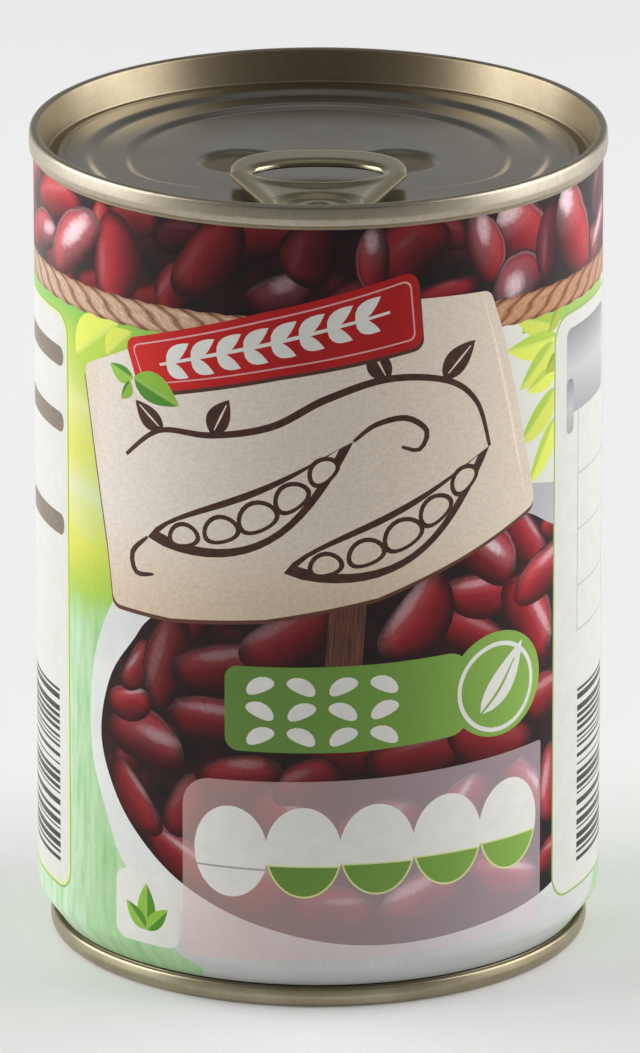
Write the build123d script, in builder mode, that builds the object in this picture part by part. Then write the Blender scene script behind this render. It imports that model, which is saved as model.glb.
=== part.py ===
from build123d import *
import os

# A shut steel food can that stands on its bottom seam.
# Millimetres, +Z up, the origin on the floor at the can's axis.
# The ring of the pull tab points to +Y and its nose to -Y.

# Driving dimensions
can_height = 109.0
body_radius = 37.0
sheet = 0.25  # tinplate of the wall and of both ends

# Double seams: each end is folded round the edge of the wall
seam_height = 2.7
seam_thickness = 1.25
seam_overhang = 0.6  # top seam, past the wall
seam_lip = 0.5
crest_round = 0.55
foot_round = 0.45

# Necked-in base, so that the can stands inside the top seam of another
neck_in = 1.6  # the bottom seam is this much smaller in radius than the wall
neck_groove = 0.95  # the neck is this much inside the bottom seam
neck_rise = 0.3
neck_height = 3.4
neck_root_round = 0.6
neck_shoulder_round = 2.5

# Countersink that runs round both ends inside the seam
countersink_depth = 4.2
chuck_lean = 1.05
countersink_width = 1.0
countersink_round = 0.3
panel_rise = 0.4
panel_slope = 0.5

# Easy-open panel
score_inset = 0.6  # from the panel's edge
score_width = 0.24
score_depth = 0.1
step_inset = 2.6  # from the score to the step
step_width = 1.7
step_drop = 0.45
step_round = 0.8
recess_inset = 3.6  # from the foot of the step to the recess
recess_front = 15.2  # the recess is cut straight across at this distance
recess_corner = 9.0
recess_slope = 1.4
recess_drop = 0.45
well_diameter = 9.5
well_depth = 0.45
well_spread = 9.6
well_offset = 1.6  # behind the tab's back edge

# Pull tab
tab_length = 28.7
tab_width = 22.4
tab_thickness = 1.8
tab_edge_round = 0.7
tab_margin = 0.8  # nose to the score
nose_width = 11.0
nose_round = 4.4
corner_setback = 11.7  # from the back edge to the widest corner
corner_round = 1.2
shoulder_length = 9.5
shoulder_width = 5.6
hole_length = 16.7
hole_width = 9.4
hole_setback = 5.5  # width of the bar behind the hole
hole_edge_round = 0.6
curl_width = 1.8
web_depth = 0.35
web_thickness = 0.45

# Rivet, pressed out of the panel
rivet_setback = 5.1  # from the tab's nose
rivet_radius = 2.0
rivet_clearance = 0.1
rivet_head_radius = 2.9
rivet_head_height = 0.5
island_radius = 3.9
pad_radius = 4.9
pad_slope = 0.8

# Bottom end
bottom_rings = 3
ring_spacing = 6.0
ring_width = 1.2
ring_drop = 0.4

# Levels and radii of the top end
top_seam_radius = body_radius + seam_overhang
top_seam_low = can_height - seam_height
wall_inside = body_radius - sheet
chuck_radius = top_seam_radius - seam_thickness
chuck_foot = chuck_radius - chuck_lean
panel_edge = chuck_foot - countersink_width
panel_radius = panel_edge - panel_slope
countersink_z = can_height - countersink_depth
panel_z = countersink_z + panel_rise
step_z = panel_z - step_drop
recess_z = step_z - recess_drop
top_seat_z = min(recess_z - well_depth, countersink_z) - sheet
score_radius = panel_radius - score_inset
step_radius = score_radius - step_inset
step_foot = step_radius - step_width
recess_radius = step_foot - recess_inset

# Levels and radii of the bottom end
bottom_seam_radius = body_radius - neck_in
neck_radius = bottom_seam_radius - neck_groove
neck_inside = neck_radius - sheet
base_chuck_radius = bottom_seam_radius - seam_thickness
base_chuck_foot = base_chuck_radius - chuck_lean
base_panel_edge = base_chuck_foot - countersink_width
base_panel_radius = base_panel_edge - panel_slope
base_panel_z = countersink_depth - panel_rise
base_seat_z = countersink_depth + bottom_rings * ring_drop + sheet
neck_root_z = seam_height + neck_rise
neck_shoulder_z = neck_root_z + neck_height

# Places of the tab and its rivet
nose_y = tab_margin - score_radius
tab_back_y = nose_y + tab_length
hole_y = tab_back_y - hole_setback - hole_width / 2
hole_front_y = hole_y - hole_width / 2
rivet_y = nose_y + rivet_setback
corner_y = tab_back_y - corner_setback
tab_top_z = panel_z + tab_thickness


def revolved_face(points, radii):
    """Half section of a round piece: a chain of corners from the axis out and back to the axis."""
    with BuildSketch(Plane.XZ) as section:
        with BuildLine():
            Polyline(*points, close=True)
        make_face()
        for point, radius in zip(points, radii):
            if radius > 0:
                fillet(section.vertices().sort_by_distance((point[0], point[1], 0))[0], radius)
    return section.sketch


def recess_outline(grow, height):
    """The recess of the panel, round at the back and straight at the front."""
    with BuildSketch(Plane.XY.offset(height)) as outline:
        Circle(recess_radius + grow)
        reach = 2 * recess_radius
        with Locations((0, -recess_front - grow - reach)):
            Rectangle(2 * reach, 2 * reach, mode=Mode.SUBTRACT)
        fillet(outline.vertices(), recess_corner + grow)
    return outline.sketch


# The can's wall and what it holds, shut in by both ends: one solid.
body_points = [
    (0, base_seat_z),
    (neck_inside, base_seat_z),
    (neck_inside, seam_height),
    (neck_radius, seam_height),
    (neck_radius, neck_root_z),
    (body_radius, neck_shoulder_z),
    (body_radius, top_seam_low),
    (wall_inside, top_seam_low),
    (wall_inside, top_seat_z),
    (0, top_seat_z),
]
body_rounds = [0, 0, 0, 0, neck_root_round, neck_shoulder_round, 0, 0, 0, 0]
with BuildPart() as can_body:
    add(revolved_face(body_points, body_rounds))
    revolve(axis=Axis.Z)
can_body.part.label = "can_body"

# Easy-open top end: seam, chuck wall, countersink, scored and stepped panel, rivet.
top_points = [
    (0, top_seat_z),
    (wall_inside, top_seat_z),
    (wall_inside, top_seam_low),
    (top_seam_radius, top_seam_low),
    (top_seam_radius, can_height),
    (chuck_radius, can_height),
    (chuck_foot, countersink_z),
    (panel_edge, countersink_z),
    (panel_radius, panel_z),
    (score_radius + score_width / 2, panel_z),
    (score_radius, panel_z - score_depth),
    (score_radius - score_width / 2, panel_z),
    (step_radius, panel_z),
    (step_foot, step_z),
    (0, step_z),
]
top_rounds = [0, 0, 0, seam_lip, crest_round, crest_round, countersink_round, countersink_round]
top_rounds += [countersink_round / 2, 0, 0, 0, step_round, step_round, 0]
with BuildPart() as top_end:
    add(revolved_face(top_points, top_rounds))
    revolve(axis=Axis.Z)
    add(recess_outline(0, step_z))
    add(recess_outline(-recess_slope, recess_z))
    loft(mode=Mode.SUBTRACT)
    well_sphere = (well_diameter**2 / 4 + well_depth**2) / (2 * well_depth)
    well_y = tab_back_y + well_offset
    well_z = recess_z - well_depth + well_sphere
    with Locations((-well_spread, well_y, well_z), (well_spread, well_y, well_z)):
        Sphere(well_sphere, mode=Mode.SUBTRACT)
    with BuildSketch(Plane.XY.offset(recess_z)):
        with Locations((0, rivet_y)):
            Circle(pad_radius + pad_slope)
    with BuildSketch(Plane.XY.offset(panel_z)):
        with Locations((0, rivet_y)):
            Circle(pad_radius)
    loft()
    rivet_top = panel_z + web_thickness + rivet_head_height
    with BuildSketch(Plane.XY.offset(panel_z)):
        with Locations((0, rivet_y)):
            Circle(rivet_radius)
    extrude(amount=web_thickness + rivet_head_height)
    with BuildSketch(Plane.XY.offset(panel_z + web_thickness)):
        with Locations((0, rivet_y)):
            Circle(rivet_head_radius)
    extrude(amount=rivet_head_height)
    head_edges = top_end.edges().filter_by(GeomType.CIRCLE)
    head_edges = head_edges.filter_by_position(Axis.Z, rivet_top, rivet_top)
    fillet(head_edges.sort_by(SortBy.RADIUS)[0], rivet_head_height / 2)
top_end.part.label = "top_end"

# Bottom end: the same seam and countersink, with stepped rings in the panel.
base_points = [
    (0, base_seat_z),
    (neck_inside, base_seat_z),
    (neck_inside, seam_height),
    (bottom_seam_radius, seam_height),
    (bottom_seam_radius, 0),
    (base_chuck_radius, 0),
    (base_chuck_foot, countersink_depth),
    (base_panel_edge, countersink_depth),
    (base_panel_radius, base_panel_z),
]
base_rounds = [0, 0, 0, seam_lip, foot_round, foot_round, countersink_round, countersink_round]
base_rounds += [countersink_round / 2]
for ring in range(bottom_rings):
    ring_radius = base_panel_radius - (ring + 1) * ring_spacing
    ring_z = base_panel_z + ring * ring_drop
    base_points += [(ring_radius, ring_z), (ring_radius - ring_width, ring_z + ring_drop)]
    base_rounds += [ring_width / 2, ring_width / 2]
base_points += [(0, base_panel_z + bottom_rings * ring_drop)]
base_rounds += [0]
with BuildPart() as bottom_end:
    add(revolved_face(base_points, base_rounds))
    revolve(axis=Axis.Z)
bottom_end.part.label = "bottom_end"

# Pull tab: a curled ring for the finger, and a thin web that the rivet holds down.
with BuildPart() as pull_tab:
    with BuildSketch(Plane.XY.offset(panel_z)):
        with BuildLine():
            side = FilletPolyline(
                (0, nose_y),
                (nose_width / 2, nose_y),
                (tab_width / 2, corner_y),
                (tab_width / 2, tab_back_y - shoulder_length),
                radius=[nose_round, corner_round],
            )
            shoulder = EllipticalCenterArc(
                (tab_width / 2 - shoulder_width, tab_back_y - shoulder_length),
                shoulder_width,
                shoulder_length,
                start_angle=0,
                arc_size=90,
            )
            Line(shoulder @ 1, (0, tab_back_y))
            mirror(about=Plane.YZ)
        make_face()
        with Locations((0, hole_y)):
            Ellipse(hole_length / 2, hole_width / 2, mode=Mode.SUBTRACT)
    extrude(amount=tab_thickness)
    rim_edges = ShapeList()
    for face in pull_tab.faces().filter_by(Axis.Z):
        rim_edges += face.outer_wire().edges()
    fillet(rim_edges, tab_edge_round)
    hole_edges = ShapeList()
    for face in pull_tab.faces().filter_by(Axis.Z):
        hole_edges += face.inner_wires()[0].edges()
    fillet(hole_edges, hole_edge_round)
    web_back_y = hole_front_y - curl_width
    web_front_y = nose_y + curl_width
    back_half = tab_width / 2 - 2 * curl_width
    front_half = nose_width / 2 - curl_width / 2
    with BuildSketch(Plane.XY.offset(tab_top_z)):
        with BuildLine():
            Polyline(
                (-front_half, web_front_y),
                (front_half, web_front_y),
                (back_half, web_back_y),
                (-back_half, web_back_y),
                close=True,
            )
        make_face()
    extrude(amount=-web_depth, mode=Mode.SUBTRACT)
    with BuildSketch(Plane.XY.offset(panel_z + web_thickness)):
        with Locations((0, rivet_y)):
            Circle(island_radius)
    extrude(amount=tab_thickness, mode=Mode.SUBTRACT)
    with BuildSketch(Plane.XY.offset(panel_z)):
        with Locations((0, rivet_y)):
            Circle(rivet_radius + rivet_clearance)
    extrude(amount=tab_thickness, mode=Mode.SUBTRACT)
pull_tab.part.label = "pull_tab"

os.makedirs("parts", exist_ok=True)
export_step(can_body.part, "parts/can_body.step")
export_step(top_end.part, "parts/top_end.step")
export_step(bottom_end.part, "parts/bottom_end.step")
export_step(pull_tab.part, "parts/pull_tab.step")
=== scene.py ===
import math
import random

import bmesh
import bpy
import numpy as np
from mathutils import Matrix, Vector
from mathutils.geometry import delaunay_2d_cdt


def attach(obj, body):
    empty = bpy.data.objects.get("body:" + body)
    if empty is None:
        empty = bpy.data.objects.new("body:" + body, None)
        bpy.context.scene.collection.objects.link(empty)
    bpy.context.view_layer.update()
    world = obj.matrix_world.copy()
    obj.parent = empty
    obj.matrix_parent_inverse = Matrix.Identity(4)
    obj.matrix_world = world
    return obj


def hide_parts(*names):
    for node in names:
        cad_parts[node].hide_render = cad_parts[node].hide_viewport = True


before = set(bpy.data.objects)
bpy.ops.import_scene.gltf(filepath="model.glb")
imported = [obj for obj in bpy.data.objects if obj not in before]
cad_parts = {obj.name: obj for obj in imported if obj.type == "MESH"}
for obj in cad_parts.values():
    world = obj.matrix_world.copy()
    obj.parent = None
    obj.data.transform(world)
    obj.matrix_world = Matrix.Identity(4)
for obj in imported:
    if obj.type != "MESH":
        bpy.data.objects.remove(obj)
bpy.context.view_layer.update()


# The studio: a pale sweep of floor, two tall soft boxes at the can's sides and a dim room.
# The can stands on the floor with the middle of its print towards the camera, which looks
# down on it through a long lens.
view_distance = 1.6755
view_pitch = math.radians(17.83)
view_height = 0.05545
aim_point = Vector((0.0002, 0.0, 0.05428))
lens_mm = 437.5

camera_data = bpy.data.cameras.new("camera")
camera_data.lens = lens_mm
camera_data.sensor_width = 36.0
camera_data.clip_end = 50.0
camera = bpy.data.objects.new("camera", camera_data)
bpy.context.scene.collection.objects.link(camera)
view_back = view_distance * math.cos(view_pitch)
view_rise = view_distance * math.sin(view_pitch)
camera.location = (0, -view_back, view_height + view_rise)
camera.rotation_euler = (aim_point - camera.location).to_track_quat("-Z", "Y").to_euler()
bpy.context.scene.camera = camera
bpy.context.scene.view_settings.view_transform = "Standard"


def wire(tree, kind, inputs=None, **settings):
    """Adds a node, sets it up and joins its inputs."""
    node = tree.nodes.new("ShaderNode" + kind)
    for name, value in settings.items():
        setattr(node, name, value)
    for name, value in (inputs or {}).items():
        if isinstance(value, bpy.types.NodeSocket):
            tree.links.new(value, node.inputs[name])
        else:
            node.inputs[name].default_value = value
    return node


def maths(tree, operation, first, second=0.0, clamp=False):
    return wire(tree, "Math", {0: first, 1: second}, operation=operation, use_clamp=clamp).outputs[0]


def fade(tree, value, low, high, start=0.0, end=1.0, smooth=True):
    kind = "SMOOTHSTEP" if smooth else "LINEAR"
    ends = {0: value, 1: low, 2: high, 3: start, 4: end}
    return wire(tree, "MapRange", ends, interpolation_type=kind).outputs[0]


room_front = 0.10
room_back = 0.29
world = bpy.data.worlds.new("room")
bpy.context.scene.world = world
world.use_nodes = True
room = world.node_tree
direction = wire(room, "SeparateXYZ", {0: wire(room, "TexCoord").outputs["Generated"]})
away = direction.outputs["Y"]
upward = direction.outputs["Z"]

# The room: walls that grow lighter to the back, a ceiling, and a bright low band behind
walls = fade(room, away, -0.4, 0.7, 0.0, room_back - room_front)
ceiling = fade(room, upward, 0.34, 0.66, 1.0, 0.1)
overhead = fade(room, upward, 0.75, 0.97, room_front, 0.24)
skyline = fade(room, upward, 0.04, 0.22, 0.45, 0.0)
behind = maths(room, "MULTIPLY", fade(room, away, 0.62, 0.86), skyline)
lit_walls = maths(room, "ADD", maths(room, "MULTIPLY", walls, ceiling), overhead)
glow = maths(room, "ADD", lit_walls, behind)
room.links.new(glow, room.nodes["Background"].inputs["Color"])
room.nodes["Background"].inputs["Strength"].default_value = 1.0


def soft_box(name, azimuth, height, distance, wide, tall, watts):
    """A soft box that faces the can. Azimuth 0 is at the camera, 90 to the camera's right."""
    light = bpy.data.lights.new(name, "AREA")
    light.shape = "RECTANGLE"
    light.size = wide
    light.size_y = tall
    light.energy = watts
    lamp = bpy.data.objects.new(name, light)
    turn = math.radians(azimuth)
    lamp.location = (distance * math.sin(turn), -distance * math.cos(turn), height)
    lamp.rotation_euler = (Vector((0, 0, 0.05)) - lamp.location).to_track_quat("-Z", "Y").to_euler()
    bpy.context.scene.collection.objects.link(lamp)


soft_box("left_box", -95, 0.42, 0.9, 1.0, 0.9, 10.0)
soft_box("right_box", 95, 0.42, 0.9, 1.0, 0.9, 9.3)

floor_size = 30.0
bpy.ops.object.select_all(action="DESELECT")
bpy.ops.mesh.primitive_plane_add(size=floor_size, location=(0, 0, 0))
floor = bpy.context.object
floor.name = "floor"


def new_material(name):
    """A new material, its node tree and its shader."""
    material = bpy.data.materials.new(name)
    material.use_nodes = True
    return material, material.node_tree, material.node_tree.nodes["Principled BSDF"]


floor_paint, floor_tree, floor_shader = new_material("floor_paint")
floor_shader.inputs["Roughness"].default_value = 0.9
floor_shader.inputs["Specular IOR Level"].default_value = 0.1
floor_place = wire(floor_tree, "TexCoord").outputs["Object"]
floor_depth = wire(floor_tree, "SeparateXYZ", {0: floor_place}).outputs["Y"]
# Painted shade: the floor's colour is darker towards the front, as if the light fell off in front of the can
floor_tree.links.new(fade(floor_tree, floor_depth, -0.55, -0.06, 0.6, 0.91),
                     floor_shader.inputs["Base Color"])

# The sweep is lit once more from behind, where it is seen: more so far back
seen = wire(floor_tree, "LightPath")
rays = [seen.outputs[kind] for kind in ("Is Camera Ray", "Is Transmission Ray", "Is Glossy Ray")]
seen_straight = maths(floor_tree, "MAXIMUM", rays[0], rays[1])
seen_at_all = maths(floor_tree, "MAXIMUM", seen_straight, rays[2])
far_glow = fade(floor_tree, floor_depth, -0.02, 0.42, 0.10, 0.18)
sweep_glow = maths(floor_tree, "MULTIPLY", far_glow, fade(floor_tree, floor_depth, -0.3, -0.05))
floor_shader.inputs["Emission Color"].default_value = (1, 1, 1, 1)
seen_glow = maths(floor_tree, "MULTIPLY", sweep_glow, seen_at_all)
floor_tree.links.new(seen_glow, floor_shader.inputs["Emission Strength"])
floor.data.materials.append(floor_paint)


# The wall: tinplate printed flat, rolled round and welded up one side, then necked in at
# the foot. The print is one sheet whose shapes are cut into the mesh, so every edge of the
# artwork is a real edge. The same face is printed twice round the can.
MM = 0.001
wall_radius = 37.0
wall_top = 106.3
wall_foot = 2.7
foot_radius = 34.45
gauge = 0.25
top_end_seat = 103.6
bottom_end_seat = 5.65
print_top = 105.75
print_foot = 2.95
face_width = math.pi * wall_radius
half_face = face_width / 2


def bent(corners, steps=6):
    """A profile of radius and height in millimetres, with each corner bent to its own radius."""
    path = []
    for index, corner in enumerate(corners):
        here = Vector(corner[:2])
        bend = corner[2] if len(corner) > 2 else 0
        if bend == 0:
            path.append(tuple(here))
            continue
        back = (Vector(corners[index - 1][:2]) - here).normalized()
        ahead = (Vector(corners[(index + 1) % len(corners)][:2]) - here).normalized()
        half = back.angle(ahead) / 2
        centre = here + (back + ahead).normalized() * bend / math.sin(half)
        start = here + back * bend / math.tan(half) - centre
        end = here + ahead * bend / math.tan(half) - centre
        first = math.atan2(start.y, start.x)
        sweep = (math.atan2(end.y, end.x) - first + math.pi) % math.tau - math.pi
        for step in range(steps + 1):
            turn = first + sweep * step / steps
            path.append((centre.x + bend * math.cos(turn), centre.y + bend * math.sin(turn)))
    return path


wall_line = bent([(foot_radius, wall_foot), (foot_radius, 3.0, 0.6), (wall_radius, 6.4, 2.5),
                  (wall_radius, wall_top)], 8)
line_radius = [point[0] for point in wall_line]
line_height = [point[1] for point in wall_line]


def spline(four, gap):
    """Points along a smooth curve from the second of four corners to the third."""
    p0, p1, p2, p3 = [Vector(corner) for corner in four]
    steps = max(2, int((p2 - p1).length / gap))
    points = []
    for step in range(steps):
        t = step / steps
        point = 2 * p1 + (p2 - p0) * t
        point += (2 * p0 - 5 * p1 + 4 * p2 - p3) * t * t
        point += (3 * p1 - p0 - 3 * p2 + p3) * t ** 3
        points.append(tuple(0.5 * point))
    return points


def loop_through(corners, gap=0.9):
    """A smooth closed curve through a few corners."""
    count = len(corners)
    curve = []
    for index in range(count):
        curve += spline([corners[(index + k - 1) % count] for k in range(4)], gap)
    return curve


def rounded(corners, radius):
    """A closed outline of straight sides with its corners rounded."""
    return bent([(x, y, radius) for x, y in corners], 5)


def box(left, low, right, high, radius=0.0):
    corners = [(left, low), (right, low), (right, high), (left, high)]
    return rounded(corners, radius) if radius else corners


def disc(s, z, wide, tall=None, count=36):
    tall = tall or wide
    turns = [math.tau * k / count for k in range(count)]
    return [(s + wide / 2 * math.cos(turn), z + tall / 2 * math.sin(turn)) for turn in turns]


def bean_outline(s, z, length, width, angle, curl=0.0, count=26):
    """A kidney bean seen from its side: an oval whose long axis is curled."""
    turn = math.radians(angle)
    outline = []
    for k in range(count):
        t = math.tau * k / count
        along = math.cos(t)
        across = math.sin(t) + curl * (1 - along * along) * 2 - curl
        x = along * length / 2
        y = across * width / 2
        outline.append((s + x * math.cos(turn) - y * math.sin(turn),
                        z + x * math.sin(turn) + y * math.cos(turn)))
    return outline


def bean_frame(s, z, length, width, angle, curl=0.0):
    """The bean's own coordinates: along and across, each -1 to 1."""
    turn = math.radians(angle)

    def place(x, y):
        dx = x - s
        dy = y - z
        along = (dx * math.cos(turn) + dy * math.sin(turn)) / (length / 2)
        across = (dy * math.cos(turn) - dx * math.sin(turn)) / (width / 2)
        return along, across - curl * (1 - along * along) * 2 + curl
    return place


def leaf_outline(base, tip, width, curl=0.0, count=9):
    """A pointed leaf from its stalk to its tip."""
    start = Vector(base)
    reach = Vector(tip) - start
    side = Vector((-reach.y, reach.x)).normalized()
    upper = []
    lower = []
    for k in range(count + 1):
        t = k / count
        swell = width / 2 * math.sin(math.pi * t ** 0.8) ** 0.9 if 0 < k < count else 0
        bow = curl * math.sin(math.pi * t)
        upper.append(tuple(start + reach * t + side * (bow + swell)))
        lower.append(tuple(start + reach * t + side * (bow - swell)))
    return lower + upper[-2:0:-1]


def leaf_frame(base, tip, width):
    """The leaf's own coordinates: along and across, each -1 to 1."""
    start = Vector(base)
    reach = Vector(tip) - start
    side = Vector((-reach.y, reach.x)).normalized()

    def place(x, y):
        offset = Vector((x, y)) - start
        along = offset.dot(reach) / reach.length_squared * 2 - 1
        return along, offset.dot(side) / (width / 2)
    return place


def stroke(points, width, taper=0.0):
    """A drawn line of even width through points, thinner at its ends where it tapers."""
    count = len(points)
    left = []
    right = []
    for k in range(count):
        here = Vector(points[k])
        ahead = Vector(points[min(k + 1, count - 1)]) - Vector(points[max(k - 1, 0)])
        side = Vector((-ahead.y, ahead.x)).normalized()
        share = k / (count - 1)
        half = width / 2 * (1 - taper * abs(2 * share - 1) ** 2)
        left.append(tuple(here + side * half))
        right.append(tuple(here - side * half))
    return right + left[::-1]


def curve_through(points, gap=0.7):
    """An open smooth curve through points."""
    path = []
    ends = [points[0]] + list(points) + [points[-1]]
    for index in range(len(points) - 1):
        path += spline(ends[index:index + 4], gap)
    path.append(tuple(points[-1]))
    return path


artwork = []


def put(ink, outline, tone=1.0, glint=0.0, hue=0.0, place=None, within=None, gleam=None):
    """Prints one shape over what is already there, and gives its number."""
    artwork.append({"ink": ink, "outline": outline, "tone": tone, "glint": glint, "hue": hue,
                    "place": place, "within": within, "gleam": gleam})
    return len(artwork) - 1


def put_leaf(base, tip, width, tone=1.0, bow=0.0, hue=0.0):
    outline = leaf_outline(base, tip, width, bow)
    put("leaf_green", outline, tone, 0.0, hue, leaf_frame(base, tip, width))


def put_line(ink, points, width, taper, tone=1.0):
    put(ink, stroke(curve_through(points), width, taper), tone)


def put_bean(within, s, z, length, width, angle, tone, glint, hue=0, shine=None):
    """A bean of the heap, curled at random, with the gleam of a window on its upper side."""
    curl = random.uniform(0.05, 0.2) * random.choice([-1, 1])
    turn = math.radians(angle)
    if shine is None:
        lift = width * random.uniform(0.18, 0.3)
        slide = length * random.uniform(-0.12, 0.16)
        shine = (s - math.sin(turn) * lift + math.cos(turn) * slide,
                 z + math.cos(turn) * lift + math.sin(turn) * slide,
                 length * random.uniform(0.4, 0.7),
                 width * random.uniform(0.14, 0.26),
                 angle + random.uniform(-8, 8))
    put("bean_skin", bean_outline(s, z, length, width, angle, curl), tone, glint, hue,
        bean_frame(s, z, length, width, angle, curl), within, bean_frame(*shine))


# The artwork: opaque inks laid on the flat sheet in the order they are printed here, before
# it is rolled. Distances are millimetres round the wall from the middle of the face, and
# millimetres up from the floor.
random.seed(7)

put("bare_lacquer", box(-60, 0, 60, 110))
put("meadow", box(-60, print_foot, 16, print_top))
put("white_field", box(16, print_foot, 60, print_top))
put("meadow", box(35, print_foot, 60, 12))

# Beans heaped in a band below the top seam
band = put("bean_gap", box(-60, 92.5, 60, 108))
band_beans = [
    (-55, 101, 12, 7, 60, 0.9, 0.3), (-57, 95, 9, 6, 10, 0.8, 0.2), (-33, 94.5, 8, 5, 20, 0.5, 0.0),
    (-42, 94.4, 10, 5, -8, 0.6, 0.0), (-22, 94.6, 9, 5, 15, 0.4, 0.0), (-8, 105, 12, 6, 5, 0.36, 0.05),
    (4, 96, 9, 6, 30, 0.36, 0.05, 0.5), (16, 104.5, 9, 5, -20, 0.4, 0.1, 0.3),
    (-52, 104.5, 9, 5, 30, 0.9, 0.4), (-43, 103.2, 15, 6.4, 8, 1.3, 0.12),
    (-48.5, 97.3, 13.4, 5.8, 18, 1.2, 0.8, 0, (-45.3, 98.9, 4.6, 1.9, 12)),
    (-31.5, 103.4, 5.5, 4.6, 70, 1.15, 0.1, -0.6), (-26, 104.5, 9, 6, 10, 0.5, 0.05),
    (-29, 98.6, 13, 8.6, 84, 0.95, 0.12),
    (-38, 99, 15, 7.2, 38, 1.3, 1.0, 0, (-37.4, 100.5, 8.4, 2.6, 38)),
    (-18.5, 103.5, 8, 5, 10, 0.3, 0.1, 0.9), (-19, 96.6, 9, 5.5, 60, 0.5, 0.2, 0.2),
    (-14.5, 101.5, 14.5, 7.6, 55, 0.42, 0.1),
    (-5, 97, 9, 6.4, 20, 0.5, 0.7, 0.9, (-4.5, 98.4, 3.6, 2.2, 20)),
    (-1, 102.5, 9, 7.5, 80, 0.34, 0.1, 0.4), (12.5, 102.5, 10.5, 8.4, 40, 0.46, 0.1, 0.1),
    (7, 101.5, 9, 4.6, 90, 0.62, 0.8, 0.3, (6.8, 104, 3.4, 1.8, 90)), (17, 96.2, 9.5, 4.2, 8, 0.62, 0.1),
    (29.2, 102.8, 11, 8.4, -42, 1.0, 0.9, 0, (26.6, 105.2, 4.4, 2.8, 8)),
    (22.8, 101.4, 10, 5.8, -68, 0.9, 0.9, 0.1, (22.4, 104, 4.6, 2.0, -80)),
    (28.6, 96.2, 9.4, 6.6, 6, 0.95, 1.0, 0.5, (27.6, 95.6, 3.6, 3.2, 40)),
    (34.5, 100.2, 11, 5.2, 80, 0.66, 0.15, 0.9), (46.5, 96.3, 9, 6, 10, 0.8, 0.2, 0.2),
    (50.5, 103.5, 10, 6.5, 60, 0.5, 0.4, 0.9),
    (41, 99.8, 14.6, 8.6, -62, 1.3, 1.0, 0, (38.4, 104.4, 4.4, 3.4, -60)),
    (51.6, 97.2, 12, 5.6, 36, 1.0, 1.0, 0.3, (50.2, 98.0, 8, 1.7, 30)), (57, 103, 9, 7, -30, 0.9, 0.5),
    (57.8, 96.5, 8, 6, 70, 0.9, 0.4),
]
for bean in band_beans:
    put_bean(band, *bean)

# The field again, under the band, for the rope to lie on
put("bean_gap", box(-60, 90.2, 60, 93.5), 0.8)
put("meadow", box(-60, 30, 16, 91.2))
put("white_field", box(16, 30, 60, 91.2))
put("leaf_green", box(29, 88.6, 53, 91.2), 1.1)

# Leaves that hang behind the tag at both sides
sprays = [
    ((-37.2, 84.2), (-28.4, 90.2), 6.4, 1.1), ((-30.6, 85.6), (-26.0, 89.6), 3.6, 1.05),
    ((36, 88.2), (27.5, 91.2), 3.4, 0.95), ((36.5, 86.6), (26.2, 86.9), 3.8, 1.1),
    ((35.5, 86.2), (28.6, 81.2), 3.6, 1.0), ((36.5, 82.9), (29.8, 80.6), 2.8, 1.1),
    ((36.2, 79.9), (28.4, 73.6), 3.8, 1.0), ((36, 76), (30.2, 67.8), 3.2, 1.1),
    ((36.4, 84.6), (33.6, 82.3), 2.2, 0.65), ((36.6, 90.4), (34.2, 87.6), 2.0, 0.7),
]
for base, tip, width, tone in sprays:
    put_leaf(base, tip, width, tone, 0.4, 0.5)


rope_height = 92.1
rope_half = 1.9
rope_pitch = 3.8
rope_lean = 0.85
rope_step = 0.6


def rope_frame(s, z):
    """How many strands along the rope, and how far up it, -1 to 1."""
    return s / rope_pitch, (z - rope_height) / rope_half


# The twisted rope, laid one way at the left and the other at the right, each strand swelling
for side, left, right in [(-1, -60, 8), (1, 8, 60)]:
    upper = []
    lower = []
    for step in range(int((right - left) / rope_step) + 1):
        s = left + rope_step * step
        for edge, sign in ((upper, 1), (lower, -1)):
            swelling = 0.22 * abs(math.sin(math.pi * (s / rope_pitch + rope_lean * side * sign)))
            edge.append((s, rope_height + sign * rope_half - sign * 0.2 + sign * swelling))
    put("rope_fibre", lower + upper[::-1], 1.0, 0.0, side, rope_frame)

# The china bowl, and the beans in it
bowl_edge = [
    (-26, 55), (-29.5, 52.5), (-32.7, 46), (-34, 40), (-34.1, 33), (-33.4, 29), (-31.8, 25),
    (-29.8, 20.5), (-28.4, 17.8), (-19.5, 7), (-16.5, 4.6), (-12, 0), (38, 0), (44, 5.5), (52, 10.5),
    (58, 22), (60, 36), (57, 52), (45, 63.5), (34, 67.5), (15, 70), (-10, 66),
]
put("bowl_china", loop_through(bowl_edge), 1.0, 0.0, 0.0, bean_frame(11, 36, 92, 66, 0))
bowl_inside = [
    (-32, 34), (-30.2, 42), (-26, 48), (-22, 52.5), (-8, 62), (10, 67), (27, 65.2), (34.5, 62), (46, 55),
    (52, 36), (47, 20), (36, 12.6), (20, 9.6), (5, 9.2), (-8, 11.8), (-18, 16), (-25, 21.3), (-29.6, 27),
]
heap = put("bean_gap", loop_through(bowl_inside))
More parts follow.
